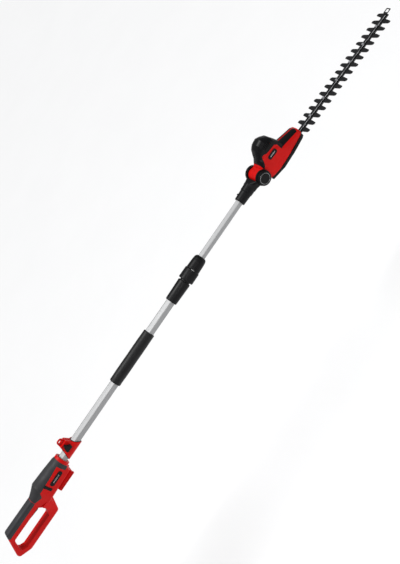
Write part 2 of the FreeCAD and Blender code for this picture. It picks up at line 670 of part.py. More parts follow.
def gearbox():
    """The plate that carries the motor, the base with the guide bar's posts, and the bearings."""
    bearing_z = gear_z[1] + 0.4
    plate = flat_plate([(50, -22, 6), (124, -22, 6), (124, 22, 6), (50, 22, 6)], plate_z)
    plate = plate.cut(rod(5.0, (motor_x, 0, -20), Z_AXIS, 40))
    plate = plate.fuse(pipe(9.5, 8.0, (gear_x, 0, bearing_z), Z_AXIS, plate_z[0] - bearing_z))
    save_head("gearbox_plate", plate.cut(rod(4.3, (gear_x, 0, -20), Z_AXIS, 40)))
    base = flat_plate([(74, -20, 6), (161, -20, 6), (161, 20, 6), (74, 20, 6)], base_z)
    base = base.fuse(rod(9.5, (gear_x, 0, base_z[0] - 4), Z_AXIS, 5))
    base = base.cut(rod(8.0, (gear_x, 0, base_z[0] - 3), Z_AXIS, 10))
    post = box(post_x, post_y, (base_z[1], blade_plane + 5.85))
    save_head("gearbox_base", joined([base, post, mirrored(post)]))
    bearings = [pipe(8.0, crank_shaft_radius + 0.05, (gear_x, 0, bearing_z), Z_AXIS, 4.6),
                pipe(8.0, crank_shaft_radius + 0.05, (gear_x, 0, base_z[0] - 3), Z_AXIS, 4.8),
                pipe(8.0, 2.5 + 0.05, (motor_x, 0, motor_z + 57.1), Z_AXIS, 4.0)]
    save_head("bearings", Part.makeCompound(bearings))


def motor():
    can = rod(motor_radius, (motor_x, 0, motor_z), Z_AXIS, 57)
    can = can.cut(rod(motor_radius - 1.6, (motor_x, 0, motor_z + 1.6), Z_AXIS, 53.8))
    save_head("motor_can", can.cut(rod(4.2, (motor_x, 0, motor_z - 5), Z_AXIS, 70)))
    magnet = pipe(motor_radius - 1.6, motor_radius - 5.0, (motor_x, 0, motor_z + 5), Z_AXIS, 44)
    gap = box((motor_x - 30, motor_x + 30), (-4, 4), (motor_z, motor_z + 60))
    save_head("motor_magnets", magnet.cut(gap))
    core = rod(12.4, (motor_x, 0, motor_z + 11), Z_AXIS, 30)
    for i in range(8):
        slot = box((motor_x + 6, motor_x + 14), (-1.0, 1.0), (motor_z + 10, motor_z + 42))
        slot.rotate(V(motor_x, 0, 0), Z_AXIS, 45 * i)
        core = core.cut(slot)
    shaft = rod(2.5, (motor_x, 0, gear_z[0] - 0.5), Z_AXIS, motor_z + 65.4 - gear_z[0])
    commutator = rod(5.5, (motor_x, 0, motor_z + 43), Z_AXIS, 7)
    save_head("motor_armature", joined([core, shaft, commutator]))
    pinion = gear_wheel(pinion_teeth, (gear_z[0], gear_z[1] + 1.0), motor_x, 0.0)
    save_head("motor_pinion", pinion.cut(rod(2.5, (motor_x, 0, -40), Z_AXIS, 60)))
    fan_z = motor_z + 61.8
    fan = [rod(5.0, (motor_x, 0, fan_z), Z_AXIS, 3.2), rod(13.5, (motor_x, 0, fan_z), Z_AXIS, 1.0)]
    for i in range(9):
        vane = box((motor_x + 4.5, motor_x + 13.5), (-0.5, 0.5), (fan_z + 0.8, fan_z + 3.8))
        vane.rotate(V(motor_x, 0, 0), Z_AXIS, 40 * i)
        fan.append(vane)
    save_head("cooling_fan", joined(fan).cut(rod(2.5, (motor_x, 0, fan_z - 10), Z_AXIS, 30)))


def crank_gear():
    """The large gear, its shaft and the two eccentrics, half a turn apart."""
    wheel = gear_wheel(gear_teeth, gear_z, gear_x, math.pi + math.pi / gear_teeth)
    shaft_low = base_z[0] - 2.9
    shaft = rod(crank_shaft_radius, (gear_x, 0, shaft_low), Z_AXIS, gear_z[1] + 5.6 - shaft_low)
    angle = math.acos(-blade_lag / blade_throw)
    offset = V(blade_throw * math.cos(angle), blade_throw * math.sin(angle), 0)
    upper_low = blade_plane + blade_gap / 2
    lower_low = blade_plane - blade_gap / 2 - blade_thickness
    upper = rod(eccentric_radius, (gear_x + offset.x, offset.y, upper_low), Z_AXIS, gear_z[0] - upper_low)
    lower = rod(eccentric_radius, (gear_x - offset.x, -offset.y, lower_low), Z_AXIS, upper_low - lower_low)
    save_head("crank_gear", joined([wheel, shaft, upper, lower]))


def blade_outline(lag):
    """Yoke, shank and teeth of one blade in x and y; the lag moves it along X from mid-stroke."""
    left = []
    right = []
    for i in range(tooth_count):
        for starts, side, line in ((left_tooth_start, 1, left), (right_tooth_start, -1, right)):
            middle = starts + i * tooth_pitch + lag
            tooth = [(-tooth_root_half, blade_half_width), (-tooth_mid_half, blade_half_width + 10),
                     (-tooth_tip_half, tooth_reach - 1.2), (-tooth_tip_half + 1.2, tooth_reach),
                     (tooth_tip_half - 1.2, tooth_reach), (tooth_tip_half, tooth_reach - 1.2),
                     (tooth_mid_half, blade_half_width + 10), (tooth_root_half, blade_half_width)]
            line.extend((middle + dx, side * reach, 0) for dx, reach in tooth)
    start = gear_x + lag
    yoke_x = eccentric_radius + 2 * blade_throw + 0.4
    rim = 4.2
    half_y = eccentric_radius + blade_throw + 0.4 + rim
    front = start + yoke_x + rim
    yoke_right = [(front + 8, -blade_half_width, 6), (front, -half_y + 4, 6), (front - 4, -half_y, 6),
                  (start - yoke_x - rim, -half_y, 12)]
    yoke_left = [(x, -y, r) for x, y, r in reversed(yoke_right)]
    tip = blade_end - 6 + lag
    end = [(tip, -blade_half_width, 3), (tip, blade_half_width, 3)]
    return yoke_left + left + list(reversed(end)) + list(reversed(right)) + yoke_right


def blade(low, lag):
    z = (low, low + blade_thickness)
    plate = flat_plate(blade_outline(lag), z)
    yoke_x = eccentric_radius + 2 * blade_throw + 0.4
    half_y = eccentric_radius + blade_throw + 0.4
    start = gear_x + lag
    eye = [(start - yoke_x, -half_y, 8), (start + yoke_x, -half_y, 8), (start + yoke_x, half_y, 8),
           (start - yoke_x, half_y, 8)]
    plate = plate.cut(flat_plate(eye, (low - 1, low + 3)))
    reach = bolt_sleeve_radius + blade_throw + 0.4
    width = bolt_sleeve_radius + 0.35
    for i in range(bolt_count):
        middle = bolt_start + i * bolt_pitch + lag
        slot = [(middle - reach, -width, width - 0.05), (middle + reach, -width, width - 0.05),
                (middle + reach, width, width - 0.05), (middle - reach, width, width - 0.05)]
        plate = plate.cut(flat_plate(slot, (low - 1, low + 3)))
    return plate


def blades_and_bar():
    save_head("upper_blade", blade(blade_plane + blade_gap / 2, -blade_lag))
    save_head("lower_blade", blade(blade_plane - blade_gap / 2 - blade_thickness, blade_lag))
    bar_low = blade_plane + blade_gap / 2 + blade_thickness + blade_gap
    bar_top = bar_low + bar_thickness
    half = bar_half_width
    bar = flat_plate([(bar_start, -half, 1), (bar_end, -half, 3), (bar_end, half, 3),
                      (bar_start, half, 1)], (bar_low, bar_top))
    root = flat_plate([(bar_start, -17, 2), (163, -17, 4), (175, -half + 0.5, 8), (175, half - 0.5, 8),
                       (163, 17, 4), (bar_start, 17, 2)], (bar_low, bar_top))
    bar = joined([bar, root])
    for i in range(bolt_count):
        bar = bar.cut(rod(2.5, (bolt_start + i * bolt_pitch, 0, bar_low - 1), Z_AXIS, 10))
    post = box(post_x, post_y, (bar_low - 1, bar_top + 1))
    bar = bar.cut(post).cut(mirrored(post))
    save_head("guide_bar", bar)
    lower_low = blade_plane - blade_gap / 2 - blade_thickness
    bolts = []
    for i in range(bolt_count):
        x = bolt_start + i * bolt_pitch
        shank = rod(2.5, (x, 0, lower_low - 4.0), Z_AXIS, bar_top - lower_low + 4.0)
        sleeve = rod(bolt_sleeve_radius, (x, 0, lower_low - 0.3), Z_AXIS, bar_low - lower_low + 0.3)
        washer = rod(6.0, (x, 0, lower_low - 1.3), Z_AXIS, 1.0)
        nut = rod(4.2, (x, 0, lower_low - 4.0), Z_AXIS, 2.7)
        head = rod(4.4, (x, 0, bar_top), Z_AXIS, 1.8)
        bolts.append(joined([shank, sleeve, washer, nut, head]))
    save_head("blade_bolts", Part.makeCompound(bolts))
    guard = flat_plate([(bar_end - 10, -5.4, 2), (bar_end - 1, -9.5, 3), (bar_end + 16, -9.5, 1.6),
                        (bar_end + 16, 9.5, 1.6), (bar_end - 1, 9.5, 3), (bar_end - 10, 5.4, 2)],
                       (bar_top, bar_top + 1.8))
    guard = guard.cut(box((bar_end + 0.5, bar_end + 13), (-6.6, 6.6), (bar_top - 1, bar_top + 4)))
    save_head("tip_guard", guard)


os.makedirs("parts", exist_ok=True)
rear_handle()
battery_mount()
handle_inner_parts()
trigger_parts()
tubes()
telescope_clamp()
strap_bracket()
fork()
tilt_knob()
bottom_cover()
head_shells()
gearbox()
motor()
crank_gear()
blades_and_bar()
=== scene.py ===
import json
import math
from random import Random

import bmesh
import bpy
from mathutils import Matrix, Vector
from mathutils.bvhtree import BVHTree


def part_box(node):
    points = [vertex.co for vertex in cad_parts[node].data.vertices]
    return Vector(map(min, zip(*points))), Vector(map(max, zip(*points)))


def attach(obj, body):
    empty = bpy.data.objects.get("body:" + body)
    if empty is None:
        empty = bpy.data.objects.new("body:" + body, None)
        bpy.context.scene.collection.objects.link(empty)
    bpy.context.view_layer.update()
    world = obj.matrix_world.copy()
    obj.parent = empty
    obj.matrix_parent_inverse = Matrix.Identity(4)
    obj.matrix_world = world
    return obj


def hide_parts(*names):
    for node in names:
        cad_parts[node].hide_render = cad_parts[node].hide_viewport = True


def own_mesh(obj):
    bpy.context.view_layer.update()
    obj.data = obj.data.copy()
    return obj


# A pole hedge trimmer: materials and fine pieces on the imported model.
# Lengths are in metres, +X runs from the handle to the blade's tip, and +Z is up.

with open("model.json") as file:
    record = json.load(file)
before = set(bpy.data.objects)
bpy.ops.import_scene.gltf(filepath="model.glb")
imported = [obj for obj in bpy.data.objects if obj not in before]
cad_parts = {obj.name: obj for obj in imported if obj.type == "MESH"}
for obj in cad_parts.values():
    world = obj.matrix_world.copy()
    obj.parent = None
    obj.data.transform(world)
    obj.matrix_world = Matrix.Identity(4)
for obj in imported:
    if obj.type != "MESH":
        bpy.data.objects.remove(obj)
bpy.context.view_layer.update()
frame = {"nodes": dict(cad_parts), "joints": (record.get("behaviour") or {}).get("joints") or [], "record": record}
nodes = frame["nodes"]
record = frame["record"]
joints = {j["name"]: j for j in frame["joints"]}


# ---- shader helpers ----
class Shader:
    """A material with one Principled shader, and short calls for the nodes that drive it."""

    def __init__(self, name, color, roughness, metallic=0.0, coat=0.0, sheen=0.0, specular=0.5):
        self.material = bpy.data.materials.new(name)
        self.material.use_nodes = True
        self.material.diffuse_color = (color[0], color[1], color[2], 1)
        self.tree = self.material.node_tree
        self.shader = self.tree.nodes["Principled BSDF"]
        self.put("Base Color", (color[0], color[1], color[2], 1))
        self.put("Roughness", roughness)
        self.put("Metallic", metallic)
        self.put("Coat Weight", coat)
        self.put("Coat Roughness", 0.25)
        self.put("Sheen Weight", sheen)
        self.put("Specular IOR Level", specular)
        self.where = self.node("ShaderNodeTexCoord").outputs["Object"]
        self.height = None

    def put(self, socket, value):
        self.shader.inputs[socket].default_value = value

    def node(self, kind, **settings):
        made = self.tree.nodes.new(kind)
        for key, value in settings.items():
            setattr(made, key, value)
        return made

    def link(self, source, target):
        self.tree.links.new(source, target)

    def stretched(self, scale):
        """The object coordinates, multiplied by the scale along each axis."""
        mapping = self.node("ShaderNodeMapping")
        mapping.inputs["Scale"].default_value = scale
        self.link(self.where, mapping.inputs["Vector"])
        return mapping.outputs["Vector"]

    def across(self):
        """How far a point is from the object's middle plane, in metres."""
        parts = self.node("ShaderNodeSeparateXYZ")
        self.link(self.where, parts.inputs["Vector"])
        return parts.outputs["Y"]

    def noise(self, scale, detail=3.0, rough=0.55, vector=None):
        made = self.node("ShaderNodeTexNoise")
        made.inputs["Scale"].default_value = scale
        made.inputs["Detail"].default_value = detail
        made.inputs["Roughness"].default_value = rough
        self.link(vector or self.where, made.inputs["Vector"])
        return made.outputs["Fac"]

    def cells(self, scale, feature="F1", vector=None):
        made = self.node("ShaderNodeTexVoronoi", feature=feature)
        made.inputs["Scale"].default_value = scale
        self.link(vector or self.where, made.inputs["Vector"])
        return made.outputs["Distance"]

    def math(self, operation, a, b=None, clamp=False):
        made = self.node("ShaderNodeMath", operation=operation, use_clamp=clamp)
        for socket, value in zip(made.inputs, (a, b)):
            if value is None:
                continue
            if isinstance(value, (int, float)):
                socket.default_value = value
            else:
                self.link(value, socket)
        return made.outputs[0]

    def spread(self, source, low, high, start=0.0, end=1.0):
        made = self.node("ShaderNodeMapRange")
        made.inputs["From Min"].default_value = start
        made.inputs["From Max"].default_value = end
        made.inputs["To Min"].default_value = low
        made.inputs["To Max"].default_value = high
        self.link(source, made.inputs["Value"])
        return made.outputs["Result"]

    def mix(self, factor, first, second):
        made = self.node("ShaderNodeMix", data_type="RGBA")
        for socket, value in ((made.inputs["A"], first), (made.inputs["B"], second)):
            if isinstance(value, tuple):
                socket.default_value = (value[0], value[1], value[2], 1)
            else:
                self.link(value, socket)
        self.link(factor, made.inputs["Factor"])
        return made.outputs["Result"]

    def edges(self, radius):
        """1 on the object's sharp edges and 0 on its faces."""
        bevel = self.node("ShaderNodeBevel", samples=4)
        bevel.inputs["Radius"].default_value = radius
        flat = self.node("ShaderNodeNewGeometry").outputs["Normal"]
        dot = self.node("ShaderNodeVectorMath", operation="DOT_PRODUCT")
        self.link(bevel.outputs["Normal"], dot.inputs[0])
        self.link(flat, dot.inputs[1])
        return self.spread(dot.outputs["Value"], 1.0, 0.0, 0.80, 0.98)

    def bump(self, height, distance):
        """Adds a bump; later bumps build on the earlier ones."""
        made = self.node("ShaderNodeBump")
        made.inputs["Distance"].default_value = distance
        made.inputs["Strength"].default_value = 1.0
        self.link(height, made.inputs["Height"])
        if self.height is not None:
            self.link(self.height, made.inputs["Normal"])
        self.height = made.outputs["Normal"]
        self.link(self.height, self.shader.inputs["Normal"])

    def soft_edges(self, radius):
        """Rounds the look of the sharp edges."""
        bevel = self.node("ShaderNodeBevel", samples=4)
        bevel.inputs["Radius"].default_value = radius
        self.height = bevel.outputs["Normal"]
        self.link(self.height, self.shader.inputs["Normal"])


def tone(color, factor):
    """The colour made lighter or darker by the factor."""
    return tuple(min(1.0, c * factor) for c in color)


def moulded(name, color, roughness=0.38, grain=1500.0, depth=0.00004, spread=0.10, edge_tone_worn_and_lit=1.35, edge=0.0006,
             seam=False, specular=0.26):
    """Injection-moulded plastic: fine spark-eroded grain, faint mottling, and lighter edges, partly rubbed wear
    and partly a painted edge highlight.
    """
    s = Shader(name, color, roughness, specular=specular)
    s.soft_edges(edge)
    cloud = s.noise(14.0, 4.0)
    speck = s.noise(420.0, 2.0)
    base = s.mix(s.spread(cloud, 0.0, 1.0, 0.3, 0.7), tone(color, 1 - spread), tone(color, 1 + spread))
    base = s.mix(s.spread(speck, 0.0, 0.25, 0.55, 0.75), base, tone(color, 0.7))
    # painted highlight: the sharp edges are mixed towards a lighter tone, partly rubbed wear and partly a painted
    # edge highlight
    wear_and_highlight_mask = s.math("MULTIPLY", s.edges(edge * 1.6), s.spread(s.noise(60.0, 3.0), 0.1, 0.9, 0.35, 0.7))
    base = s.mix(wear_and_highlight_mask, base, tone(color, edge_tone_worn_and_lit))
    s.link(base, s.shader.inputs["Base Color"])
    rub = s.noise(9.0, 5.0)
    s.link(s.spread(rub, roughness - 0.07, roughness + 0.10, 0.3, 0.7), s.shader.inputs["Roughness"])
    s.bump(s.noise(grain, 2.0), depth)
    if seam:
        seam_from, seam_to = 0.00012, 0.0004
        line = s.spread(s.math("ABSOLUTE", s.across()), 1.0, 0.0, seam_from, seam_to)
        s.link(s.mix(line, base, tone(color, 0.22)), s.shader.inputs["Base Color"])
        s.bump(s.math("SUBTRACT", 1.0, line), 0.0004)
    return s


def overmould(name, color):
    """Soft-touch rubber with a fine leathery skin."""
    s = Shader(name, color, 0.55, sheen=0.05, specular=0.35)
    s.put("Sheen Roughness", 0.5)
    s.soft_edges(0.0012)
    cloud = s.noise(22.0, 4.0)
    base = s.mix(s.spread(cloud, 0.0, 1.0, 0.3, 0.7), tone(color, 0.82), tone(color, 1.22))
    s.link(base, s.shader.inputs["Base Color"])
    s.link(s.spread(s.noise(35.0, 4.0), 0.50, 0.72, 0.3, 0.7), s.shader.inputs["Roughness"])
    s.bump(s.cells(520.0, "SMOOTH_F1"), 0.00016)
    s.bump(s.noise(2400.0, 2.0), 0.00003)
    return s


def foam_skin(name, color):
    """Closed-cell foam: a matt skin with small open pores."""
    s = Shader(name, color, 0.46, sheen=0.02, specular=0.22)
    s.put("Sheen Roughness", 0.6)
    cloud = s.noise(30.0, 4.0)
    pores = s.cells(750.0)
    base = s.mix(s.spread(cloud, 0.0, 1.0, 0.3, 0.7), tone(color, 0.8), tone(color, 1.25))
    # painted shade: the pores are darkened, shade painted into the pits
    base = s.mix(s.spread(pores, 0.0, 0.5, 0.25, 0.0), base, tone(color, 0.4))
    s.link(base, s.shader.inputs["Base Color"])
    s.link(s.spread(cloud, 0.38, 0.52, 0.3, 0.7), s.shader.inputs["Roughness"])
    s.bump(s.math("POWER", pores, 0.5), 0.00022)
    s.bump(s.noise(60.0, 3.0), 0.0004)
    return s


def drawn_tube(name, color):
    """Anodised aluminium with fine lines along the tube, from drawing, and short scuffs from sliding."""
    s = Shader(name, color, 0.42, metallic=0.28, specular=0.20)
    s.soft_edges(0.0012)
    lines = s.noise(1.0, 3.0, 0.7, s.stretched((6.0, 2600.0, 2600.0)))
    long_lines = s.noise(1.0, 2.0, 0.5, s.stretched((1.2, 420.0, 420.0)))
    cloud = s.noise(8.0, 4.0)
    base = s.mix(s.spread(lines, 0.0, 1.0, 0.3, 0.7), tone(color, 0.90), tone(color, 1.06))
    base = s.mix(s.spread(cloud, 0.0, 0.5, 0.35, 0.7), base, tone(color, 0.92))
    s.link(base, s.shader.inputs["Base Color"])
    s.link(s.spread(long_lines, 0.33, 0.50, 0.3, 0.7), s.shader.inputs["Roughness"])
    s.bump(lines, 0.00002)
    s.bump(long_lines, 0.00003)
    return s


def coated_steel(name, color, ground_and_highlight_color):
    """Black-coated blade steel: lines from rolling, small scratches, and bright edges that are partly ground bare
    steel and partly a painted highlight.
    """
    s = Shader(name, color, 0.42, metallic=0.55)
    rolled = s.noise(1.0, 3.0, 0.6, s.stretched((12.0, 700.0, 700.0)))
    ground = s.noise(1.0, 2.0, 0.6, s.stretched((1400.0, 40.0, 200.0)))
    scratch = s.cells(1.0, "DISTANCE_TO_EDGE", s.stretched((70.0, 260.0, 70.0)))
    base = s.mix(s.spread(rolled, 0.0, 1.0, 0.3, 0.7), tone(color, 0.75), tone(color, 1.35))
    fine = s.spread(scratch, 0.5, 0.0, 0.0, 0.02)
    base = s.mix(fine, base, tone(color, 2.2))
    # painted highlight: the sharp edges are mixed towards the bright edge colour, partly ground bare steel and
    # partly a painted highlight
    edge = s.math("MULTIPLY", s.edges(0.0007), s.spread(ground, 0.35, 1.0, 0.3, 0.7))
    base = s.mix(edge, base, ground_and_highlight_color)
    s.link(base, s.shader.inputs["Base Color"])
    s.link(s.spread(rolled, 0.34, 0.52, 0.3, 0.7), s.shader.inputs["Roughness"])
    s.link(s.spread(edge, 0.55, 0.95), s.shader.inputs["Metallic"])
    s.bump(rolled, 0.00003)
    return s


def turned_steel(name, color, roughness=0.30, spread=0.12, lines=900.0):
    """Bare or plated steel with fine machining lines."""
    s = Shader(name, color, roughness, metallic=0.95)
    s.soft_edges(0.0003)
    rings = s.noise(1.0, 3.0, 0.6, s.stretched((60.0, 60.0, lines)))
    cloud = s.noise(120.0, 4.0)
    base = s.mix(s.spread(cloud, 0.0, 1.0, 0.3, 0.7), tone(color, 1 - spread), tone(color, 1 + spread))
    s.link(base, s.shader.inputs["Base Color"])
    s.link(s.spread(rings, roughness - 0.08, roughness + 0.12, 0.3, 0.7), s.shader.inputs["Roughness"])
    s.bump(rings, 0.00002)
    return s


def cast_metal(name, color):
    """Die-cast alloy with a sandy skin."""
    s = Shader(name, color, 0.55, metallic=0.85)
    s.soft_edges(0.0008)
    sand = s.noise(700.0, 4.0)
    base = s.mix(s.spread(s.noise(40.0, 4.0), 0.0, 1.0, 0.3, 0.7), tone(color, 0.85), tone(color, 1.1))
    s.link(base, s.shader.inputs["Base Color"])
    s.link(s.spread(sand, 0.45, 0.68, 0.3, 0.7), s.shader.inputs["Roughness"])
    s.bump(sand, 0.00012)
    return s


def laminate(name, color):
    """A circuit board: green laminate with faint copper tracks under the lacquer."""
    s = Shader(name, color, 0.35, coat=0.3)
    tracks = s.cells(180.0, "DISTANCE_TO_EDGE")
    weave = s.noise(900.0, 2.0)
    base = s.mix(s.spread(tracks, 1.0, 0.0, 0.03, 0.06), color, tone(color, 1.8))
    base = s.mix(s.spread(weave, 0.0, 0.3, 0.4, 0.6), base, tone(color, 0.7))
    s.link(base, s.shader.inputs["Base Color"])
    s.link(s.spread(weave, 0.28, 0.42, 0.3, 0.7), s.shader.inputs["Roughness"])
    s.bump(tracks, 0.00003)
    return s


def sheath(name, color):
    """A lead's rubber sheath, ribbed along its length, with shade and light painted along the ribs."""
    s = Shader(name, color, 0.5)
    turns = s.node("ShaderNodeTexWave", wave_type="BANDS", bands_direction="X", wave_profile="SIN")
    turns.inputs["Scale"].default_value = 45.0
    turns.inputs["Distortion"].default_value = 0.3
    s.link(s.where, turns.inputs["Vector"])
    ring = turns.outputs["Fac"]
    # painted shade and highlight: the base colour follows the ribs, darker in the grooves and lighter on the
    # crests
    s.link(s.mix(ring, tone(color, 0.5), tone(color, 1.6)), s.shader.inputs["Base Color"])
    s.link(s.spread(s.noise(80.0), 0.4, 0.6, 0.3, 0.7), s.shader.inputs["Roughness"])
    s.bump(ring, 0.0012)
    return s


RED = (0.60, 0.006, 0.005)
DARK = (0.0050, 0.0050, 0.0056)
PALE_INK = (0.72, 0.72, 0.72)
looks = {
    "red_shell": moulded("red_plastic", RED, roughness=0.36, edge_tone_worn_and_lit=1.3, seam=True, specular=0.10),
    "dark_shell": moulded("dark_plastic", DARK, roughness=0.36, spread=0.18, edge_tone_worn_and_lit=2.2, specular=0.13),
    "soft_grip": overmould("soft_grip_rubber", (0.022, 0.023, 0.027)),
    "foam": foam_skin("foam_skin", (0.0045, 0.0045, 0.0048)),
    "tube": drawn_tube("drawn_aluminium", (0.36, 0.362, 0.365)),
    "blade": coated_steel("blade_steel", (0.010, 0.010, 0.011), (0.20, 0.20, 0.205)),
    "bar": coated_steel("bar_steel", (0.008, 0.008, 0.009), (0.10, 0.10, 0.105)),
    "bright_steel": turned_steel("zinc_steel", (0.66, 0.66, 0.68)),
    "gear_steel": turned_steel("gear_steel", (0.40, 0.40, 0.42), 0.36, 0.15, 1500.0),
    "cast_alloy": cast_metal("cast_alloy", (0.55, 0.55, 0.56)),
    "brass_parts": turned_steel("plain_brass", (0.72, 0.53, 0.22), 0.28, 0.10, 1200.0),
    "board": laminate("board_laminate", (0.03, 0.16, 0.07)),
    "lead": sheath("lead_sheath", (0.02, 0.02, 0.021)),
    "soft_cover": overmould("soft_cover_rubber", (0.020, 0.020, 0.022)),
    # painted highlight: pale steel for the strip that paints the lit edge of the guide bar
    "ground": turned_steel("edge_highlight_steel", (0.70, 0.70, 0.71), 0.34, 0.08, 700.0),
    # painted highlight: grey metal for the knob ring that stands in for the highlight arcs on the knob
    "knob_highlight_chrome": turned_steel("knob_highlight_chrome", (0.34, 0.34, 0.35), 0.22, 0.08, 500.0),
    "print": moulded("print_ink", PALE_INK, roughness=0.5, edge_tone_worn_and_lit=0.8),
}


def dress(obj, look):
    """Gives an object one material in place of those it has."""
    obj.data.materials.clear()
    obj.data.materials.append(look.material)


for part in record["subparts"]:
    dress(nodes[part["node"]], looks[part["material_slot"]])
for name in ("motor_cover", "side_inlays"):
    dress(nodes[name], looks["dark_shell"])
dress(nodes["top_cover"], looks["soft_cover"])


# ---- mesh helpers ----
def add_mesh(name, verts, faces, look, body, smooth=True):
    """A new piece from its corners and faces, dressed and riding on a body."""
    mesh = bpy.data.meshes.new(name)
    mesh.from_pydata([tuple(v) for v in verts], [], faces)
    mesh.validate()
    shape = bmesh.new()
    shape.from_mesh(mesh)
    bmesh.ops.recalc_face_normals(shape, faces=shape.faces)
    shape.to_mesh(mesh)
    shape.free()
    for face in mesh.polygons:
        face.use_smooth = smooth
    piece = bpy.data.objects.new(name, mesh)
    bpy.context.scene.collection.objects.link(piece)
    dress(piece, look)
    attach(piece, body)
    return piece


def tube_faces(rings, around, closed_ends=True):
    """The faces between rings of corners, and over both ends when they are closed."""
    faces = []
    for i in range(rings - 1):
        for j in range(around):
            k = (j + 1) % around
            faces.append((i * around + j, i * around + k, (i + 1) * around + k, (i + 1) * around + j))
    if closed_ends:
        faces.append(tuple(range(around)))
        faces.append(tuple(range((rings - 1) * around, rings * around)))
    return faces


def coil(name, centre, axis, radius, wire, length, turns, look, body):
    """A helical spring of round wire from the centre along the axis."""
    axis = Vector(axis).normalized()
    side = axis.orthogonal().normalized()
    other = axis.cross(side)
    steps_per_turn, around = 20, 10
    steps = turns * steps_per_turn
    verts = []
    for i in range(steps + 1):
        t = i / steps
        a = 2 * math.pi * turns * t
        out = side * math.cos(a) + other * math.sin(a)
        middle = Vector(centre) + axis * (wire + (length - 2 * wire) * t) + out * radius
        along = (-side * math.sin(a) + other * math.cos(a)).normalized()
        up = along.cross(out).normalized()
        for j in range(around):
            b = 2 * math.pi * j / around
            verts.append(middle + (out * math.cos(b) + up * math.sin(b)) * wire)
    return add_mesh(name, verts, tube_faces(steps + 1, around), look, body)


surface_trees = {}


def surface_point(name, origin, direction):
    """Where a ray first meets a CAD node."""
    found = surface_trees.get(name)
    if found is None:
        mesh = nodes[name].data
        mesh.calc_loop_triangles()
        corners = [v.co.copy() for v in mesh.vertices]
        found = BVHTree.FromPolygons(corners, [tuple(t.vertices) for t in mesh.loop_triangles])
        surface_trees[name] = found
    return found.ray_cast(Vector(origin), Vector(direction))[0]


def printed_patch(name, node, corners, direction, look, body, cells, lift=0.00008):
    """A thin print that lies on a CAD surface: the quad's corners are thrown on it along the direction."""
    verts = []
    across_cells, up_cells = cells
    a, b, c, d = [Vector(v) for v in corners]
    for i in range(across_cells + 1):
        for j in range(up_cells + 1):
            u, v = i / across_cells, j / up_cells
            start = a.lerp(b, u).lerp(d.lerp(c, u), v)
            place = surface_point(node, start, direction)
            if place is None:
                return None
            verts.append(place - Vector(direction).normalized() * lift)
    faces = []
    for i in range(across_cells):
        for j in range(up_cells):
            k = i * (up_cells + 1) + j
            faces.append((k, k + 1, k + up_cells + 2, k + up_cells + 1))
    count = len(verts)
    under = [v + Vector(direction).normalized() * (lift * 1.5) for v in verts]
    faces += [tuple(reversed([n + count for n in f])) for f in list(faces)]
    rim = [i * (up_cells + 1) for i in range(across_cells + 1)]
    rim += [across_cells * (up_cells + 1) + j for j in range(1, up_cells + 1)]
    rim += [i * (up_cells + 1) + up_cells for i in range(across_cells - 1, -1, -1)]
    rim += [j for j in range(up_cells - 1, 0, -1)]
    for p, q in zip(rim, rim[1:] + rim[:1]):
        faces.append((p, q, q + count, p + count))
    return add_mesh(name, verts + under, faces, look, body, smooth=False)


# ---- foam hand grip ----
def foam_grip():
    """A crowned foam sleeve with rolled ends and the faint waves of a foam skin."""
    low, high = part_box("foam_grip")
    radius = (high[2] - low[2]) / 2
    wall = roll = 0.0035
    bore = radius - wall
    margin = 0.0004                       # keeps the skin inside its solid
    length = high[0] - low[0]
    around, rings, roll_steps, wave_count = 72, 96, 6, 6
    random = Random(11)
    waves = []
    for _ in range(wave_count):
        rate, phase = random.uniform(20, 90), random.uniform(0, 6.28)
        waves.append((rate, phase, random.uniform(0.00002, 0.00007)))
    profile = []
    for i in range(roll_steps + 1):
        t = math.pi / 2 * i / roll_steps
        profile.append((roll * (1 - math.cos(t)), radius - roll * (1 - math.sin(t))))
    for i in range(1, rings):
        profile.append((roll + (length - 2 * roll) * i / rings, radius))
    for i in range(roll_steps + 1):
        t = math.pi / 2 * (1 - i / roll_steps)
        profile.append((length - roll * (1 - math.cos(t)), radius - roll * (1 - math.sin(t))))
    profile = [(margin, bore)] + profile + [(length - margin, bore)]
    verts = []
    for x, r in profile:
        for j in range(around):
            a = 2 * math.pi * j / around
            ripple = sum(size * math.sin(rate * x * 3 + phase + 2 * a) for rate, phase, size in waves)
            crown = margin * math.sin(math.pi * x / length)
            out = min(radius, r - ripple - margin + crown) if r > bore else r
            verts.append((low[0] + x, out * math.cos(a), out * math.sin(a)))
    faces = tube_faces(len(profile), around, closed_ends=False)
    last = (len(profile) - 1) * around
    for j in range(around):
        k = (j + 1) % around
        faces.append((j, k, last + k, last + j))
    piece = add_mesh("foam_grip_skin", verts, faces, looks["foam"], "handle")
    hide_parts("foam_grip")


foam_grip()


# ---- springs ----
def springs():
    """The upright spring over the trigger, and the small one behind the lock button."""
    low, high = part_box("trigger_spring")
    middle = [(a + b) / 2 for a, b in zip(low, high)]
    wire = 0.0005
    piece = coil("trigger_coil", (middle[0], middle[1], low[2]), (0, 0, 1), (high[0] - low[0]) / 2 - wire,
                 wire, high[2] - low[2], 5, looks["gear_steel"], "handle")
    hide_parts("trigger_spring")
    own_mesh(piece)
    low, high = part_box("lock_spring")
    middle = [(a + b) / 2 for a, b in zip(low, high)]
    wire = 0.0004
    piece = coil("lock_coil", (middle[0], low[1], middle[2]), (0, 1, 0), (high[0] - low[0]) / 2 - wire,
                 wire, high[1] - low[1], 4, looks["gear_steel"], "handle")
    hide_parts("lock_spring")
    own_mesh(piece)


springs()


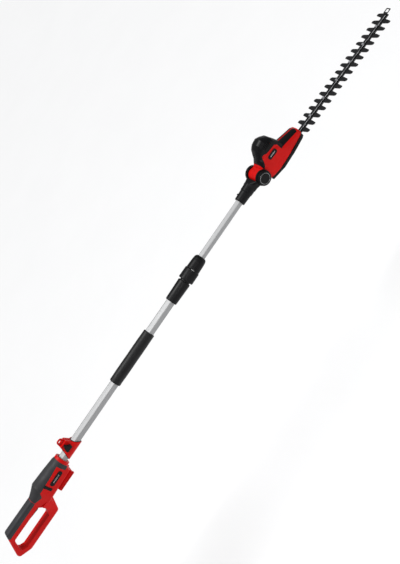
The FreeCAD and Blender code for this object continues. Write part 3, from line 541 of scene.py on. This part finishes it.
# ---- coiled lead in the outer tube ----
def lead_in_tube():
    """The curly lead inside the outer tube."""
    low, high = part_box("coiled_lead")
    wire, side_gap, end_gap, turns = 0.0018, 0.0002, 0.004, 66
    length = high[0] - low[0]
    piece = coil("lead_coil", (low[0], 0, 0), (1, 0, 0), high[2] - wire - side_gap, wire, length, turns,
                 looks["lead"], "handle")
    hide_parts("coiled_lead")
    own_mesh(piece)


lead_in_tube()


# ---- painted highlight along the guide bar's near edge ----
head_pitch = math.radians(2.3)
pivot = Vector(joints["head_tilt"]["pos_m"])


def head_point(x, y, z):
    """A point of the cutting head, whose own axes are pitched down about the tilt axis."""
    return pivot + Vector((x * math.cos(head_pitch) + z * math.sin(head_pitch), y,
                           -x * math.sin(head_pitch) + z * math.cos(head_pitch)))


def bar_edge_highlight():
    """A pale steel strip along the guide bar's near upper edge, coloured light to paint the highlight of the lit
    edge.
    """
    blade_plane, blade_thickness, bar_thickness = -0.03, 0.002, 0.0034
    bar_top = blade_plane + 0.00015 + blade_thickness + 0.0003 + bar_thickness
    half, size, land, proud = 0.0056, 0.0013, 0.0003, 0.00006
    start, end, rings = 0.194, 0.655, 90
    corners = ((half + proud, bar_top - size), (half + proud, bar_top - land),
               (half - land, bar_top + proud), (half - size, bar_top + proud),
               (half - size, bar_top - size))
    verts = []
    for i in range(rings + 1):
        x = start + (end - start) * i / rings
        for y, z in corners:
            verts.append(head_point(x, -y, z))
    faces = tube_faces(rings + 1, len(corners))
    # painted highlight: the strip's pale steel colour stands in for the lit edge of the bar
    add_mesh("bar_edge_near", verts, faces, looks["ground"], "head", smooth=False)


bar_edge_highlight()


# ---- knob ring that paints the knob's highlight, and the ridges over the motor cover ----
def knob_ring():
    """A ring in the groove of the tilt knob's face, coloured grey metal to paint the bright arcs of highlight on
    the knob.
    """
    low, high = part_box("tilt_knob")
    middle_x, middle_z = (low[0] + high[0]) / 2, (low[2] + high[2]) / 2
    ring, wire = 0.0178, 0.0008
    around, across_steps = 96, 10
    verts = []
    for i in range(around):
        a = 2 * math.pi * i / around
        for j in range(across_steps):
            b = 2 * math.pi * j / across_steps
            r = ring + wire * math.cos(b)
            y = low[1] + wire + wire * math.sin(b)
            verts.append((middle_x + r * math.cos(a), y, middle_z + r * math.sin(a)))
    faces = []
    for i in range(around):
        k = (i + 1) % around
        for j in range(across_steps):
            m = (j + 1) % across_steps
            here, there = i * across_steps, k * across_steps
            faces.append((here + j, here + m, there + m, there + j))
    add_mesh("knob_ring", verts, faces, looks["knob_highlight_chrome"], "tilt_knob")


def bead(name, node, points, direction, size, look, body):
    """A raised bead that follows a CAD surface under the points."""
    middles = []
    for point in points:
        place = surface_point(node, point, direction)
        if place is not None:
            middles.append(place)
    around = 8
    verts = []
    for i, middle in enumerate(middles):
        after = middles[min(i + 1, len(middles) - 1)]
        before = middles[max(i - 1, 0)]
        along = (after - before).normalized()
        up = along.cross(Vector(direction)).normalized()
        out = up.cross(along).normalized()
        from_end = min(i, len(middles) - 1 - i)
        taper = min(1.0, 0.25 + from_end / 4)
        for j in range(around):
            b = 2 * math.pi * j / around
            verts.append(middle + (up * math.cos(b) + out * math.sin(b)) * size * taper)
    add_mesh(name, verts, tube_faces(len(middles), around), look, body)


def dome_beads():
    """The ridge along each side of the motor cover, where its cap meets the sides."""
    start, length, steps, above = 0.040, 0.075, 40, 0.15
    from_middle, size = 0.019, 0.0009
    for side, word in ((-1, "right"), (1, "left")):
        points = [head_point(start + length * i / steps, side * from_middle, above) for i in range(steps + 1)]
        bead("dome_ridge_" + word, "motor_cover", points, (0, 0, -1), size,
             looks["dark_shell"], "head")


knob_ring()
dome_beads()


# ---- printed marks, all plain shapes ----
OUTSIDE = 0.09                            # further out than any side face, where the rays start


def slanted_bar(x, y, z, wide, half_height, lean=0.0):
    """The corners of an upright bar in a plane across Y, whose top leans forward."""
    return [(x - wide / 2 - lean, y, z - half_height), (x + wide / 2 - lean, y, z - half_height),
            (x + wide / 2 + lean, y, z + half_height), (x - wide / 2 + lean, y, z + half_height)]


def nut_mark():
    """A short bar on the telescope's twist nut."""
    corners = slanted_bar(0.335, -OUTSIDE, 0.0120, 0.0014, 0.0050)
    printed_patch("nut_mark", "clamp_nut", corners, (0, 1, 0),
                  looks["print"], "clamp_nut", (3, 10))


def plate_dashes(word, node, body, slope):
    """A row of slanted dashes on each side plate of a node, along the plate's own slope."""
    count, first, share = 9, 0.24, 0.52
    for side, hand in ((-1, "right"), (1, "left")):
        here = [v.co for v in nodes[node].data.vertices if v.co.y * side > 0]
        low_x, high_x = min(v.x for v in here), max(v.x for v in here)
        middle_z = (min(v.z for v in here) + max(v.z for v in here)) / 2
        for i in range(count):
            x = low_x + (high_x - low_x) * (first + share * i / (count - 1))
            z = middle_z + slope * (x - (low_x + high_x) / 2)
            corners = slanted_bar(x, side * OUTSIDE, z, 0.0011, 0.0021, 0.0008)
            name = "%s_dash_%s_%d" % (word, hand, i + 1)
            printed_patch(name, node, corners, (0, -side, 0), looks["print"], body, (1, 3))


nut_mark()
plate_dashes("handle", "handle_plates", "handle", 0.0)
plate_dashes("head", "head_plates", "head", -math.sin(head_pitch))


# ---- camera, lights and floor ----
def look_at(eye, target, up):
    """A rotation that looks from the eye to the target with the given direction up in the picture."""
    back = (eye - target).normalized()
    right = up.cross(back).normalized()
    above = back.cross(right)
    turn = Matrix((right, above, back)).transposed().to_4x4()
    turn.translation = eye
    return turn


elevation = math.radians(36.0)
slant = math.radians(55.4)            # how far the tube is turned up from level in the picture
across = Vector((0, -math.sin(elevation), -math.cos(elevation)))
picture_up = Vector((1, 0, 0)) * math.sin(slant) - across * math.cos(slant)
target = Vector((0.318, -0.0239, -0.0329))
distance, view_height = 2.8, math.radians(35.2)
eye = target + distance * Vector((0, -math.cos(elevation), math.sin(elevation)))
camera_data = bpy.data.cameras.new("camera")
camera_data.sensor_fit = "VERTICAL"
camera_data.sensor_height = 36.0
camera_data.lens = camera_data.sensor_height / 2 / math.tan(view_height / 2)
camera = bpy.data.objects.new("camera", camera_data)
bpy.context.scene.collection.objects.link(camera)
camera.matrix_world = look_at(eye, target, picture_up)
bpy.context.scene.camera = camera


def softbox(name, place, aim, width, height, power):
    """A white rectangular lamp that faces the aim."""
    data = bpy.data.lights.new(name, "AREA")
    data.shape = "RECTANGLE"
    data.size = width
    data.size_y = height
    data.energy = power
    lamp = bpy.data.objects.new(name, data)
    bpy.context.scene.collection.objects.link(lamp)
    lamp.matrix_world = look_at(Vector(place), Vector(aim), Vector((1, 0, 0.01)))


softbox("top_softbox", (0.25, -1.30, 1.85), (0.3, 0, 0), 3.2, 0.45, 16)
softbox("side_softbox", (0.3, -2.2, 0.6), (0.3, 0, 0), 2.8, 0.35, 5)
key_data = bpy.data.lights.new("key", "SUN")
key_data.energy = 2.5
key_data.angle = math.radians(28)
key = bpy.data.objects.new("key", key_data)
bpy.context.scene.collection.objects.link(key)
key.matrix_world = look_at(Vector((-0.25, 0.35, 2.0)), Vector((0, 0, 0)), Vector((1, 0, 0.01)))

world = bpy.data.worlds.new("studio")
world.use_nodes = True
world.node_tree.nodes["Background"].inputs["Color"].default_value = (0.95, 0.96, 0.98, 1)
world.node_tree.nodes["Background"].inputs["Strength"].default_value = 0.30
bpy.context.scene.world = world
bpy.context.scene.view_settings.view_transform = "Standard"
bpy.context.scene.view_settings.look = "None"


def floor_sheet(height):
    """A large plain floor under the tool."""
    mesh = bpy.data.meshes.new("studio_floor")
    shape = bmesh.new()
    bmesh.ops.create_grid(shape, x_segments=8, y_segments=8, size=8.0)
    shape.to_mesh(mesh)
    shape.free()
    sheet = bpy.data.objects.new("studio_floor", mesh)
    sheet.location = (0.3, 0, height)
    bpy.context.scene.collection.objects.link(sheet)
    s = Shader("floor_paper", (0.86, 0.86, 0.86), 0.9, specular=0.2)
    s.link(s.mix(s.noise(3.0, 3.0), (0.85, 0.85, 0.85), (0.88, 0.88, 0.88)), s.shader.inputs["Base Color"])
    dress(sheet, s)


floor_sheet(-0.72)
